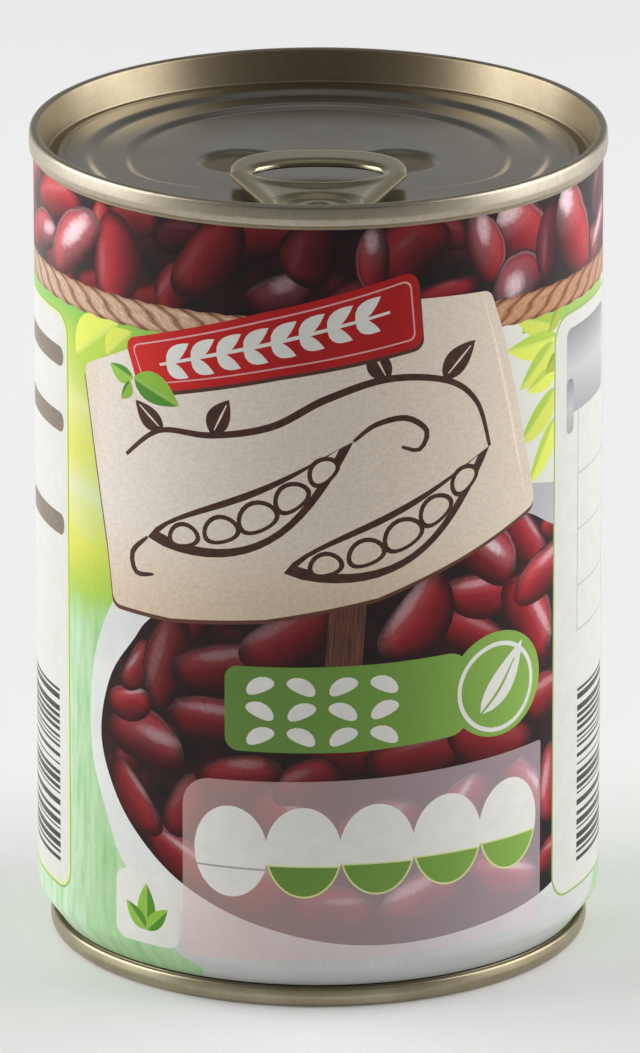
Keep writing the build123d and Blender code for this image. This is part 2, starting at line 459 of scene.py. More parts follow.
bowl_beans = [
    (-27, 31, 8, 5, 70, 0.5, 0.1), (-19, 20, 12, 6, -30, 1.1, 0.9), (-8, 17, 13, 7, 10, 1.2, 0.8),
    (2, 14, 12, 6, -8, 1.1, 0.8), (14, 15, 13, 7, 20, 1.2, 0.9), (26, 16, 13, 7, -20, 1.1, 1.0),
    (-4, 26, 12, 7, -35, 1.0, 0.9), (8, 25, 13, 7, 15, 1.1, 0.9), (20, 26, 12, 7, 50, 1.1, 1.0),
    (30, 27, 12, 7, -50, 1.1, 1.0), (-16, 55, 14, 7, 60, 0.6, 0.2), (-6, 57, 14, 7, -20, 0.6, 0.2),
    (6, 60, 13, 7, 15, 0.6, 0.2), (16, 62.5, 13, 7, -10, 0.8, 0.3), (43, 48, 12, 7, -40, 0.9, 0.4),
    (43, 32, 12, 7, 60, 0.9, 0.4), (3, 44, 14, 7, 10, 0.6, 0.2), (-7, 43, 12, 6.5, -30, 0.6, 0.2),
    (30, 44, 12, 7, 70, 0.8, 0.3), (3, 36, 13, 6.5, -12, 0.6, 0.2), (-26, 26.5, 12, 6, -50, 0.9, 0.5),
    (-17.5, 27, 10, 6.6, 60, 0.8, 0.2, 0.2), (-1.5, 31.5, 10, 5.6, 25, 0.8, 0.3, 0.2),
    (-10.5, 32, 12, 5.8, 10, 0.85, 0.4), (-24.3, 34.8, 13, 7.8, -12, 0.95, 0.6),
    (-26.8, 39.4, 8, 5, 10, 1.25, 0.5, -0.2), (-25.3, 44.6, 8.4, 4.2, 60, 0.9, 0.6),
    (-14, 39.5, 13.6, 6.4, 3, 0.8, 0.6), (-20.5, 46.2, 13.6, 6.6, 75, 0.62, 0.35),
    (-13.5, 46.4, 13.4, 6.8, 15, 0.66, 0.55), (-4, 51, 14, 7.4, 30, 0.75, 0.4),
    (20.5, 50, 13, 5.4, -25, 0.85, 0.3), (22.5, 55, 12, 6.2, -10, 1.0, 0.5),
    (30, 61, 11, 5.6, -50, 1.0, 0.5, 0.2), (35.5, 61.8, 6, 3.6, 10, 0.9, 0.4),
    (23.5, 60, 11, 7.2, -40, 1.1, 1.0, 0.3), (30.5, 50, 14.4, 7.8, -60, 1.15, 0.6),
    (34, 55.5, 13.4, 6.6, 20, 1.2, 0.5), (13, 53, 13, 8.2, 50, 0.95, 0.6),
    (33.5, 39, 9, 6.6, 10, 0.95, 0.4), (13, 34.4, 14.4, 6.6, 5, 0.6, 0.25),
    (24, 34.9, 14.4, 7.6, -15, 0.72, 0.3), (35.3, 26.5, 11, 6, 85, 1.1, 0.5),
    (36, 16.5, 8, 4.8, 20, 1.0, 0.4, 0.3),
]
for s, z, length, width, angle, tone, *finish in bowl_beans:
    depth = 0.62 + 0.36 * min(max((s - 4) / 24, 0), 1)
    put_bean(heap, s, z, length, width, angle, tone * depth, *finish)

# The brown twig that the tag hangs on, over the heap
put("dark_wood", [(0.8, 47), (5.6, 47), (6.4, 58), (1.6, 58)], 1.0, 0.0, 0.0,
    bean_frame(3.6, 52, 12, 5.2, 86))

# The field shows again past the bowl's foot
put("meadow", [(45.5, 2.7), (60, 2.7), (60, 11), (50.5, 10.0)])

# The kraft tag
tag_edge = rounded([(-35.2, 83.2), (-26.5, 87.2), (13.5, 95.9), (23.6, 95.6), (25.6, 90), (28.4, 79.5),
                    (31.6, 65.4), (20, 60.8), (7.7, 56.3), (-7, 53.4), (-20, 52.1), (-29.4, 52.3),
                    (-30.5, 60)], 1.5)
put("dark_wood", [(x - 0.1, y - 0.55) for x, y in tag_edge], 1.1)
put("kraft_card", tag_edge)
put_line("kraft_card", [(22.4, 95.0), (24.2, 89), (26.8, 79), (29.6, 67)], 0.45, 0.8, 1.18)


def pod_drawing(base, tip, width, curl, beans, line=0.95):
    """A bean pod drawn in ink, open along its side, with its beans in a row."""
    start = Vector(base)
    reach = Vector(tip) - start
    along = reach.normalized()
    side = Vector((-along.y, along.x))
    put("brown_ink", leaf_outline(base, tip, width, curl, 18))
    inset = along * line * 2.2
    hollow = leaf_outline(tuple(start + inset), tuple(Vector(tip) - inset), width - 2 * line, curl, 16)
    put("kraft_card", hollow)
    for number in range(beans):
        share = (number + 1) / (beans + 1)
        spot = start + reach * share + side * curl * math.sin(math.pi * share)
        bow = math.atan(math.pi * curl / reach.length * math.cos(math.pi * share))
        slope = math.degrees(math.atan2(reach.y, reach.x)) + math.degrees(bow)
        size = width * (0.92 - 0.55 * abs(share - 0.5))
        long = size * 0.86
        wide = size * 0.62
        put("brown_ink", bean_outline(spot.x, spot.y, long, wide, slope, 0.12, 22))
        put("kraft_card", bean_outline(spot.x, spot.y, long - 1.3, wide - 1.1, slope, 0.12, 18))


def vine_drawing(points, leaves):
    """A vine drawn in ink, with a pale vein in each leaf."""
    put_line("brown_ink", points, 1.0, 0.5)
    for base, tip, width in leaves:
        put("brown_ink", leaf_outline(base, tip, width, 0.2))
        vein = [tuple(Vector(base).lerp(Vector(tip), share)) for share in (0.15, 0.5, 0.85)]
        put("kraft_card", stroke(vein, 0.3, 0.5))


pod_drawing((-23.5, 62.5), (4.5, 77.5), 7.6, -3.4, 5)
pod_drawing((-4.5, 59.8), (23.5, 74.8), 7.6, -3.2, 5)
vine_drawing([(-27, 73), (-21.5, 77.2), (-14, 77.6), (-6, 79.4), (1, 83.2), (9, 85.6), (17, 84.6),
              (21.5, 81.0), (23.5, 74.8)],
             [((-21, 77.2), (-25.4, 80.6), 3.0), ((-14, 77.6), (-11.6, 82.6), 3.2),
              ((9, 85.4), (6.6, 90.2), 3.2), ((16.5, 84.8), (21.2, 89.4), 3.4)])
tendril = [(4.5, 77.5), (7.4, 79.6), (11.4, 80.2), (14.2, 78.2), (13.2, 75.8), (10.8, 76.4)]
put_line("brown_ink", tendril, 0.8, 0.5)
put_line("brown_ink", [(-23.5, 62.5), (-26, 60), (-25.4, 57.4), (-22.6, 57.6)], 0.8, 0.6)

# The red plate across the top of the tag
plate_edge = bent([(-27.2, 88.5, 1.4), (-7, 94.6), (12.9, 99.9, 1.6), (13.7, 89.7, 1.6), (-5, 86.2),
                   (-24.6, 81.6, 1.4)], 6)
plate_line = bent([(-26.0, 87.9, 0.9), (-7, 93.6), (12.0, 98.7, 1.0), (12.7, 90.6, 1.0), (-5, 87.2),
                   (-23.9, 82.9, 0.9)], 6)
plate_face = bent([(-25.8, 87.74, 0.8), (-7, 93.36), (11.84, 98.44, 0.9), (12.48, 90.76, 0.9),
                   (-5, 87.42), (-23.74, 83.1, 0.8)], 6)
put("dark_wood", [(x + 0.2, y - 0.5) for x, y in plate_edge], 0.8)
put("plate_red", plate_edge)
put("pale_ink", plate_line, 0.85, 0.0, 1.0)
put("plate_red", plate_face)
garland = [(-21.5, 86.0), (-14, 88.3), (-6, 90.5), (2, 92.7), (9.2, 94.5)]
put_line("pale_ink", garland, 0.5, 0.3)
for step in range(8):
    stalk = Vector((-20.5 + 3.6 * step, 86.3 + 1.03 * step))
    for side in (-1, 1):
        leaf_tip = stalk + Vector((3.3, 0.9 + 2.3 * side))
        put("pale_ink", leaf_outline(tuple(stalk), tuple(leaf_tip), 1.9, 0.2 * side, 6))

# Three leaves at the plate's lower corner
corner_leaves = [((-25.8, 83.3), (-29.9, 84.6), 2.4, 1.1), ((-26.2, 82.9), (-27.9, 80.2), 1.7, 0.9),
                 ((-25.7, 83.6), (-18.6, 80.9), 4.2, 0.95)]
for base, tip, width, tone in corner_leaves:
    put_leaf(base, tip, width, tone, 0.3)

# The green banner and its ring
banner = bent([(-12.3, 35.4, 1.8), (5, 35.6), (20.5, 36.6, 3.0), (20.5, 47.8, 3.0), (5, 47.3),
               (-12.3, 46.9, 1.8)], 6)
put("banner_green", banner)
put("banner_green", disc(25, 42.3, 15.2, 14.2, 48))
put("pale_ink", disc(25, 41.9, 12.6, 12.2, 40))
put("banner_green", disc(25, 41.9, 11.4, 11.0, 40))
put("pale_ink", leaf_outline((22.2, 38.6), (29.2, 47.4), 3.8, -0.5))
put_line("banner_green", [(21.8, 38.2), (25.2, 41.4), (27.8, 45.2)], 0.4, 0.6)
for row in range(3):
    for number in range(4):
        lean = 24 - 48 * ((row + number) % 2)
        across = -7.6 + 5.4 * number
        up = 44.4 - 3.4 * row + 0.05 * number
        put("pale_ink", bean_outline(across, up, 4.0, 2.1, lean, 0.15, 14))

# The panel of five discs, on a veil that the beans show through
put("veil", bent([(-18.3, 6.6, 0.8), (33.0, 8.2, 0.4), (33.0, 32.8, 0.4), (8, 31.9), (-18.3, 31.1, 4.0)]))
for number in range(5):
    s = -11.6 + 9.66 * number
    z = 21.6 + 0.3 * number
    disc_edge = disc(s, z, 10.0, 12.4)
    whole = put("pale_ink", disc_edge, 1.06)
    if number == 0:
        put("grey_ink", box(s - 5, z - 2.35, s + 5, z - 2.1), 0.7, within=whole)
    else:
        put("pale_ink", box(s - 5, z - 7, s + 5, z - 1.8), 1.0, 0.0, -1.0, within=whole)
        inner = put("none", disc(s, z, 9.5, 11.9))
        put("banner_green", box(s - 5, z - 7, s + 5, z - 2.0), within=inner)

# The small white badge
put("pale_ink", box(-29.2, 6.9, -18.8, 16.5, 1.8))
put_leaf((-24, 8.6), (-24, 15.2), 3.0)
put_leaf((-24, 8.8), (-27.4, 12.2), 2.2)
put_leaf((-24, 8.8), (-20.6, 12.2), 2.2)

# The white side panels, which meet where the two faces join
put("leaf_green", box(-62, 9.7, -39.2, 88.8, 3.2), 0.9)
put("pale_ink", box(-62, 10.0, -39.5, 88.5, 3.0), 1.0, 0.0, -1.0)
put("pale_ink", box(-62, 10.4, -39.9, 88.1, 2.7), 0.9)
put("leaf_green", box(35.6, 9.6, 62, 89.1, 3.4), 0.9)
put("pale_ink", box(35.9, 9.9, 62, 88.8, 3.2), 0.9)
for low, high in [(81.2, 83.9), (72.3, 75.0), (58.3, 61.2)]:
    put("stripe_brown", box(-62, low, -40.6, high, 1.2), 0.72)

# Fine lines where the two panels meet, each of its own thickness
level = 13.2
while level < 37:
    thick = random.choice([0.25, 0.4, 0.55, 0.8])
    put("dark_ink", box(-62, level, -42.4, level + thick))
    put("dark_ink", box(42.4, level, 62, level + thick))
    level += thick + random.choice([0.35, 0.35, 0.55, 0.8])

# The ruled table and the cap over it on the right panel
put("grey_ink", box(38.7, 75.2, 54, 86.8, 1.2), 1.0, place=bean_frame(46.5, 81, 15.5, 11.6, 0))
put("grey_ink", box(38.7, 72.6, 40.7, 80, 0.9), 0.9, place=bean_frame(39.7, 76, 2, 8, 0))
put("grey_ink", box(42, 45, 42.25, 76), 0.8)
for low, high in [(51.1, 51.3), (45, 45.2), (66.4, 66.6), (58.8, 59.0)]:
    put("grey_ink", box(42, low, 60, high), 0.8)

# Bare edges, top and foot; the strip at the foot is painted near black, painted shade in the crease above
# the bottom seam
put("bare_lacquer", box(-60, print_top, 60, 110))
put("bare_lacquer", box(-60, 0, 60, print_foot), 0.1)


# The sheet's own grid: columns round it, and rows that lie closer where it curves
columns = 96
rows_apart = 3.0
straight_from = 12
least_area = 0.02
least_gap = 1e-4


def clipped(outline):
    """The part of an outline that lies on the sheet."""
    sides = ((0, -half_face, 1), (0, half_face, -1), (1, wall_foot, 1), (1, wall_top, -1))
    for axis, limit, sign in sides:
        kept = []
        for here, ahead in zip(outline, outline[1:] + outline[:1]):
            reach = (here[axis] - limit) * sign
            next_reach = (ahead[axis] - limit) * sign
            if reach >= 0:
                kept.append(tuple(here))
            if reach * next_reach < 0:
                share = reach / (reach - next_reach)
                kept.append(tuple(here[k] + (ahead[k] - here[k]) * share for k in (0, 1)))
        outline = kept
    return [point for k, point in enumerate(outline) if math.dist(point, outline[k - 1]) > least_gap]


def cut_print(shapes, edge_heights=()):
    """Cuts one face of the print into triangles, each with the shapes it lies in."""
    points = [Vector((side * half_face, z)) for z in edge_heights for side in (-1, 1)]
    lines = []
    outlines = []
    numbers = []

    def add(x, y):
        points.append(Vector((x, y)))
        return len(points) - 1

    for column in range(columns + 1):
        s = -half_face + face_width * column / columns
        lines.append((add(s, wall_foot), add(s, wall_top)))
    levels = [height for height in line_height if height < straight_from]
    straight = wall_top - straight_from
    count = int(straight / rows_apart)
    levels += [straight_from + straight * k / count for k in range(count + 1)]
    for z in levels:
        lines.append((add(-half_face, z), add(half_face, z)))
    for number, shape in enumerate(shapes):
        corners = clipped(shape["outline"])
        pairs = zip(corners, corners[1:] + corners[:1])
        area = sum(p[0] * q[1] - q[0] * p[1] for p, q in pairs) / 2
        if abs(area) < least_area:
            continue
        if area < 0:
            corners.reverse()
        outlines.append([add(x, y) for x, y in corners])
        numbers.append(number)
    cut = delaunay_2d_cdt(points, lines, outlines, 0, 1e-5, True)
    return cut[0], cut[2], [[numbers[index] for index in held] for held in cut[5]]


# A first cut shows where shapes meet the two side edges, so that both edges get the same points
first_points, _, _ = cut_print(artwork)
edge_points = [point for point in first_points if abs(abs(point.x) - half_face) < least_gap]
sheet_cut = cut_print(artwork, sorted({round(point.y, 4) for point in edge_points}))
sheet_points, sheet_faces, sheet_shapes = sheet_cut
inks = ["bare_lacquer", "meadow", "white_field", "bean_gap", "bean_skin", "rope_fibre", "leaf_green",
        "bowl_china", "dark_wood", "kraft_card", "brown_ink", "plate_red", "pale_ink", "banner_green",
        "grey_ink", "stripe_brown", "dark_ink"]


def topmost(numbers):
    """The shape that shows at a spot, and whether the veil lies on it."""
    shown = 0
    veiled = 0.0
    for number in sorted(numbers):
        shape = artwork[number]
        if shape["within"] is not None and shape["within"] not in numbers:
            continue
        if shape["ink"] == "veil":
            veiled = 1.0
        elif shape["ink"] != "none":
            shown = number
            veiled = 0.0
    return shown, veiled


def wall_point(s, z):
    """Where a spot of the sheet lies once it is rolled round the can."""
    turn = s / wall_radius
    reach = np.interp(z, line_height, line_radius)
    return (reach * math.sin(turn) * MM, -reach * math.cos(turn) * MM, z * MM)


def wall_normal(x, y, z):
    """The way the wall faces at a point of it."""
    rise = 0.02
    above, below = np.interp([z / MM + rise, z / MM - rise], line_height, line_radius)
    lean = (above - below) / (2 * rise)
    around = math.hypot(x, y)
    normal = Vector((x / around, y / around, -lean))
    return normal.normalized()


face_looks = []
for corners, numbers in zip(sheet_faces, sheet_shapes):
    shown, veiled = topmost(numbers)
    face_looks.append((corners, artwork[shown], veiled))

# The same face twice round, with its looks written on the mesh for the inks to read
map_scale = 100
off_gleam = (9.0, 9.0)
weld_strip = 2.4
printed_mesh = bpy.data.meshes.new("printed_wall")
wall_points = []
wall_faces = []
for turn_count in (0, 1):
    start = len(wall_points)
    shift = turn_count * face_width
    wall_points += [wall_point(p.x + shift, p.y) for p in sheet_points]
    wall_faces += [[corner + start for corner in corners] for corners, _, _ in face_looks]
printed_mesh.from_pydata(wall_points, [], wall_faces)
flat_map = printed_mesh.uv_layers.new(name="flat")
swell_map = printed_mesh.uv_layers.new(name="swell")
gleam_map = printed_mesh.uv_layers.new(name="gleam")
look_map = printed_mesh.attributes.new("look", "FLOAT_COLOR", "FACE")
flat_values = []
swell_values = []
gleam_values = []
look_values = []
ink_values = []
for turn_count in (0, 1):
    for corners, shape, veiled in face_looks:
        place = shape["place"]
        for corner in corners:
            s, z = sheet_points[corner]
            flat_values += [s / map_scale, z / map_scale]
            swell_values += place(s, z) if place else (0.0, 0.0)
            gleam_values += shape["gleam"](s, z) if shape["gleam"] else off_gleam
        ink = shape["ink"]
        middle = sum(sheet_points[corner].x for corner in corners) / 3
        if turn_count == 0 and middle > half_face - weld_strip:
            ink = "bare_lacquer"
        ink_values.append(inks.index(ink))
        look_values += [shape["tone"], veiled, shape["glint"], shape["hue"] * 0.5 + 0.5]
flat_map.data.foreach_set("uv", flat_values)
swell_map.data.foreach_set("uv", swell_values)
gleam_map.data.foreach_set("uv", gleam_values)
look_map.data.foreach_set("color", look_values)
printed_mesh.polygons.foreach_set("material_index", ink_values)
printed_wall = bpy.data.objects.new("printed_wall", printed_mesh)
bpy.context.scene.collection.objects.link(printed_wall)


def edit(piece):
    """Opens one piece in edit mode with all of it selected."""
    bpy.ops.object.select_all(action="DESELECT")
    bpy.context.view_layer.objects.active = piece
    piece.select_set(True)
    bpy.ops.object.mode_set(mode="EDIT")
    bpy.ops.mesh.select_all(action="SELECT")


def close_edit():
    """Turns every face outwards and leaves edit mode."""
    bpy.ops.mesh.select_all(action="SELECT")
    bpy.ops.mesh.normals_make_consistent(inside=False)
    bpy.ops.object.mode_set(mode="OBJECT")


def close_ring():
    """Shuts the selected ring with triangles to its middle."""
    bpy.ops.mesh.extrude_region_move()
    bpy.ops.mesh.merge(type="CENTER")


def open_edges(piece, height):
    """Selects the free edges of a piece that lie at one height, in edit mode."""
    bpy.ops.mesh.select_mode(type="EDGE")
    bpy.ops.mesh.select_all(action="DESELECT")
    shell = bmesh.from_edit_mesh(piece.data)
    for edge in shell.edges:
        if edge.is_boundary and all(abs(vert.co.z - height * MM) < 1e-6 for vert in edge.verts):
            edge.select = True
    bpy.ops.mesh.select_mode(type="EDGE")
    bmesh.update_edit_mesh(piece.data)


def raise_ring(radius, height, next_radius, next_height):
    """Extrudes the selected ring to a new radius and height, in millimetres."""
    rise = (0, 0, (next_height - height) * MM)
    bpy.ops.mesh.extrude_region_move(TRANSFORM_OT_translate={"value": rise})
    grow = next_radius / radius
    bpy.ops.transform.resize(value=(grow, grow, 1), center_override=(0, 0, 0))


# Inside, the wall is shut off just under the two ends
edit(printed_wall)
bpy.ops.mesh.remove_doubles(threshold=1e-7)
rims = [(wall_radius, wall_top, top_end_seat), (foot_radius, wall_foot, bottom_end_seat)]
for radius, height, seat in rims:
    open_edges(printed_wall, height)
    raise_ring(radius, height, radius - gauge, height)
    raise_ring(radius - gauge, height, radius - gauge, seat)
    close_ring()
close_edit()
printed_mesh.polygons.foreach_set("use_smooth", [True] * len(printed_mesh.polygons))
corner_normals = []
for polygon in printed_mesh.polygons:
    centre = polygon.center
    outer_reach = np.interp(centre.z / MM, line_height, line_radius)
    inner = math.hypot(centre.x, centre.y) < (outer_reach - 0.1) * MM
    for corner in polygon.vertices:
        place = printed_mesh.vertices[corner].co
        corner_normals.append(polygon.normal if inner else wall_normal(*place))
printed_mesh.normals_split_custom_set(corner_normals)


def srgb(red, green, blue):
    """A colour as 0 to 255 on a screen, turned into light."""
    light = []
    for level in (red, green, blue):
        share = level / 255
        light.append(share / 12.92 if share <= 0.04045 else ((share + 0.055) / 1.055) ** 2.4)
    return (*light, 1.0)


def blend(tree, share, first, second, mode="MIX"):
    ends = {0: share, 6: first, 7: second}
    return wire(tree, "Mix", ends, data_type="RGBA", blend_type=mode).outputs[2]


def multiplied(tree, first, second):
    return blend(tree, 1.0, first, second, "MULTIPLY")


def grey(tree, level):
    return wire(tree, "CombineColor", {0: level, 1: level, 2: level}).outputs[0]


def vector_of(tree, operation, *vectors):
    return wire(tree, "VectorMath", dict(enumerate(vectors)), operation=operation)


def ramp(tree, value, stops):
    """Colours along a value, each stop a place and a colour as 0 to 255 on a screen."""
    node = wire(tree, "ValToRGB", {0: value})
    while len(node.color_ramp.elements) < len(stops):
        node.color_ramp.elements.new(0.5)
    for element, (place, *colour) in zip(node.color_ramp.elements, stops):
        element.position = place
        element.color = srgb(*colour)
    return node.outputs[0]


def noise(tree, vector, scale, detail=2.0, roughness=0.5, stretch=(1, 1, 1)):
    spread = wire(tree, "Mapping", {"Vector": vector, "Scale": stretch})
    inputs = {"Vector": spread.outputs[0], "Scale": scale, "Detail": detail, "Roughness": roughness}
    return wire(tree, "TexNoise", inputs).outputs[0]


def map_of(tree, name):
    return wire(tree, "UVMap", uv_map=name).outputs[0]


def parts_of(tree, vector):
    node = wire(tree, "SeparateXYZ", {0: vector})
    return node.outputs[0], node.outputs[1]


def look_of(tree):
    """What the mesh says of a face: its tone, whether it is veiled, its glint and its hue."""
    look = wire(tree, "Attribute", attribute_name="look", attribute_type="GEOMETRY")
    light = wire(tree, "SeparateColor", {0: look.outputs["Color"]})
    return light.outputs[0], light.outputs[1], light.outputs[2], look.outputs["Alpha"]


veil_warm = srgb(244, 206, 200)
veil_cool = srgb(234, 216, 224)
veil_cover = 0.44
ink_roughness = 0.33
ink_gloss = 0.25


def print_ink(name, paint, grit):
    """One colour of the print under its clear varnish. Paint gives the colour, and the sheet's
    own look gives how light it is and where the veil lies on it; grit is the print's dots."""
    ink, tree, shader = new_material(name)
    tone, veiled = look_of(tree)[:2]
    colour = paint(tree)
    dots = noise(tree, map_of(tree, "flat"), 210, 0.0)
    mottle = fade(tree, dots, 0.3, 0.7, 1.0 - grit, 1.0 + grit, False)
    level = maths(tree, "MULTIPLY", tone, mottle)
    shaded = multiplied(tree, colour, grey(tree, level))
    s, _ = parts_of(tree, map_of(tree, "flat"))
    veil_tint = blend(tree, fade(tree, s, -0.16, 0.24), veil_warm, veil_cool)
    covered = blend(tree, maths(tree, "MULTIPLY", veiled, veil_cover), shaded, veil_tint)
    tree.links.new(covered, shader.inputs["Base Color"])
    varnish = noise(tree, map_of(tree, "flat"), 60, 2.0)
    dull = fade(tree, varnish, 0.3, 0.7, ink_roughness - 0.02, ink_roughness + 0.02)
    tree.links.new(dull, shader.inputs["Roughness"])
    shader.inputs["Specular IOR Level"].default_value = ink_gloss
    printed_mesh.materials.append(ink)


def paint_bare(tree):
    """Clear lacquer on bare tinplate, with a faint grain round the can."""
    wash = noise(tree, map_of(tree, "flat"), 60, 3.0, 0.6, (1, 8, 1))
    return ramp(tree, wash, [(0.3, 150, 136, 112), (0.7, 176, 162, 136)])


def paint_meadow(tree):
    """Sunlit leaves out of focus above, pale green boards below."""
    flat = map_of(tree, "flat")
    s, z = parts_of(tree, flat)
    blots = noise(tree, flat, 9, 1.0, 0.5)
    drift = maths(tree, "MULTIPLY", maths(tree, "SUBTRACT", blots, 0.5), 0.10)
    far = maths(tree, "ADD", z, drift)
    leaves = ramp(tree, fade(tree, far, 0.45, 0.93, 0, 1, False), [
        (0.0, 176, 224, 136), (0.14, 184, 216, 78), (0.3, 240, 236, 96), (0.42, 240, 240, 196),
        (0.56, 238, 234, 110), (0.68, 240, 240, 160), (0.82, 204, 222, 84), (0.95, 146, 206, 92)])
    grain = noise(tree, flat, 34, 3.0, 0.6, (2.2, 0.3, 1))
    boards = ramp(tree, grain, [(0.3, 168, 216, 160), (0.5, 200, 232, 194), (0.7, 222, 244, 216)])
    rise = fade(tree, far, 0.44, 0.54)
    base = blend(tree, rise, boards, leaves)
    shade = fade(tree, s, -0.42, -0.30, 0.0, 0.35)
    return blend(tree, shade, base, srgb(120, 190, 70))


def paint_white(tree):
    """White under the right side, a little warmer above."""
    _, z = parts_of(tree, map_of(tree, "flat"))
    return ramp(tree, fade(tree, z, 0.6, 0.9, 0, 1, False), [(0.0, 232, 232, 222), (1.0, 238, 238, 226)])


def paint_bean(tree):
    """Dark red skin, darker to its edge and its lower side, with the pale gleam of a window."""
    glint, hue = look_of(tree)[2:]
    flat = map_of(tree, "flat")
    wander = wire(tree, "TexNoise", {"Vector": flat, "Scale": 24.0, "Detail": 2.0})
    shift = vector_of(tree, "SUBTRACT", wander.outputs["Color"], (0.5, 0.5, 0.5)).outputs[0]
    swell = map_of(tree, "swell")
    moved = vector_of(tree, "MULTIPLY_ADD", shift, (0.4, 0.4, 0.0), swell).outputs[0]
    _, across = parts_of(tree, moved)
    reach = vector_of(tree, "LENGTH", moved).outputs["Value"]
    lit = fade(tree, across, -1.0, 0.6, 0.22, 1.0)
    round_off = fade(tree, reach, 0.62, 1.06, 1.0, 0.12)
    share = maths(tree, "MULTIPLY", round_off, lit, True)
    skin = ramp(tree, share, [(0.0, 34, 4, 9), (0.3, 90, 10, 18), (0.7, 152, 24, 36), (1.0, 188, 48, 56)])
    cool = multiplied(tree, skin, srgb(190, 190, 255))
    warm = multiplied(tree, skin, srgb(255, 255, 150))
    purple = blend(tree, fade(tree, hue, 0.5, 0.95), skin, cool)
    tinted = blend(tree, fade(tree, hue, 0.5, 0.1), purple, warm)
    feather = noise(tree, flat, 110, 2.0)
    streak = vector_of(tree, "LENGTH", map_of(tree, "gleam")).outputs["Value"]
    far = maths(tree, "ADD", streak, fade(tree, feather, 0.3, 0.7, -0.1, 0.1, False))
    shine = fade(tree, far, 0.3, 1.5, 0.88, 0.0)
    sheen = fade(tree, far, 0.6, 3.0, 0.15, 0.0)
    off_rim = maths(tree, "ABSOLUTE", maths(tree, "SUBTRACT", reach, 0.87))
    rim_light = fade(tree, off_rim, 0.0, 0.1, 0.2, 0.0)
    arc = maths(tree, "MULTIPLY", rim_light, fade(tree, across, 0.05, 0.75))
    lights = maths(tree, "MAXIMUM", maths(tree, "MAXIMUM", shine, sheen), arc)
    return blend(tree, maths(tree, "MULTIPLY", lights, glint, True), tinted, srgb(238, 208, 214))


def paint_rope(tree):
    """Twisted strands, with dark creases between them and fibres along them."""
    hue = look_of(tree)[3]
    along, across = parts_of(tree, map_of(tree, "swell"))
    off_axis = maths(tree, "ABSOLUTE", across)
    bow = maths(tree, "MULTIPLY", maths(tree, "POWER", off_axis, 1.6), maths(tree, "SIGN", across))
    lay = maths(tree, "MULTIPLY", bow, fade(tree, hue, 0.2, 0.8, rope_lean, -rope_lean, False))
    phase = maths(tree, "ADD", along, lay)
    in_strand = maths(tree, "MULTIPLY", maths(tree, "FRACT", phase), 2.0)
    off_middle = maths(tree, "ABSOLUTE", maths(tree, "SUBTRACT", in_strand, 1.0))
    crease = fade(tree, off_middle, 0.45, 1.0, 0.0, 0.5)
    thread = wire(tree, "CombineXYZ", {0: phase, 1: across}).outputs[0]
    fibres = noise(tree, thread, 4.0, 4.0, 0.7, (4.0, 0.6, 1))
    edge = fade(tree, off_axis, 0.62, 1.05, 0.0, 0.34)
    fluff = maths(tree, "ADD", maths(tree, "MULTIPLY", fibres, 1.5), -0.02)
    level = maths(tree, "SUBTRACT", maths(tree, "SUBTRACT", fluff, edge), crease, True)
    tan = ramp(tree, level, [(0.0, 104, 68, 50), (0.25, 150, 106, 80), (0.6, 196, 154, 124),
                             (0.9, 230, 202, 174)])
    return blend(tree, hue, tan, multiplied(tree, tan, srgb(244, 218, 196)))


def paint_leaf(tree):
    """A leaf lighter on one side of its pale midrib, young or old by its hue."""
    hue = look_of(tree)[3]
    _, across = parts_of(tree, map_of(tree, "swell"))
    vein = fade(tree, maths(tree, "ABSOLUTE", across), 0.04, 0.16, 0.3, 0.0)
    side = fade(tree, across, -0.2, 0.2, 0.0, 1.0)
    young = blend(tree, side, srgb(182, 212, 76), srgb(226, 236, 98))
    old = blend(tree, side, srgb(86, 150, 44), srgb(150, 200, 70))
    body = blend(tree, fade(tree, hue, 0.5, 0.75), old, young)
    return blend(tree, vein, body, srgb(226, 238, 150))


def paint_china(tree):
    """Glazed white china, with painted shade that greys it towards the foot of the can, and in shade under
    its rim.
    """
    flat = map_of(tree, "flat")
    _, z = parts_of(tree, flat)
    cloud = noise(tree, flat, 12, 2.0)
    # Painted shade: greyer towards the foot of the can
    low = fade(tree, z, 0.02, 0.16, 0.45, 0.0)
    rim = fade(tree, z, 0.46, 0.66, 0.0, 0.8)
    shade = maths(tree, "ADD", low, rim, True)
    white = ramp(tree, cloud, [(0.3, 226, 228, 226), (0.7, 240, 242, 238)])
    return blend(tree, shade, white, srgb(176, 176, 180))


def paint_wood(tree):
    streaks = noise(tree, map_of(tree, "swell"), 2.4, 3.0, 0.6, (0.5, 4, 1))
    return ramp(tree, streaks, [(0.3, 60, 34, 28), (0.55, 106, 64, 50), (0.75, 134, 88, 68)])


def paint_card(tree):
    """Kraft card: pale at the left, browner to the right and the foot, with fibres and dots."""
    flat = map_of(tree, "flat")
    s, z = parts_of(tree, flat)
    fibres = noise(tree, flat, 170, 3.0, 0.6, (0.6, 1.5, 1))
    dots = wire(tree, "TexVoronoi", {"Vector": flat, "Scale": 230.0}).outputs["Distance"]
    rightward = fade(tree, s, -0.34, 0.3, 0.0, 0.36, False)
    warmth = maths(tree, "ADD", rightward, fade(tree, z, 0.66, 0.52, 0.0, 0.6), True)
    edge = fade(tree, s, -0.345, -0.30, 0.35, 0.0)
    card = ramp(tree, maths(tree, "ADD", warmth, edge, True),
                [(0.0, 240, 231, 220), (0.5, 232, 213, 190), (1.0, 214, 186, 156)])
    coarse = maths(tree, "ADD", fibres, maths(tree, "MULTIPLY", dots, 0.5))
    return multiplied(tree, card, grey(tree, fade(tree, coarse, 0.4, 1.0, 0.93, 1.05)))


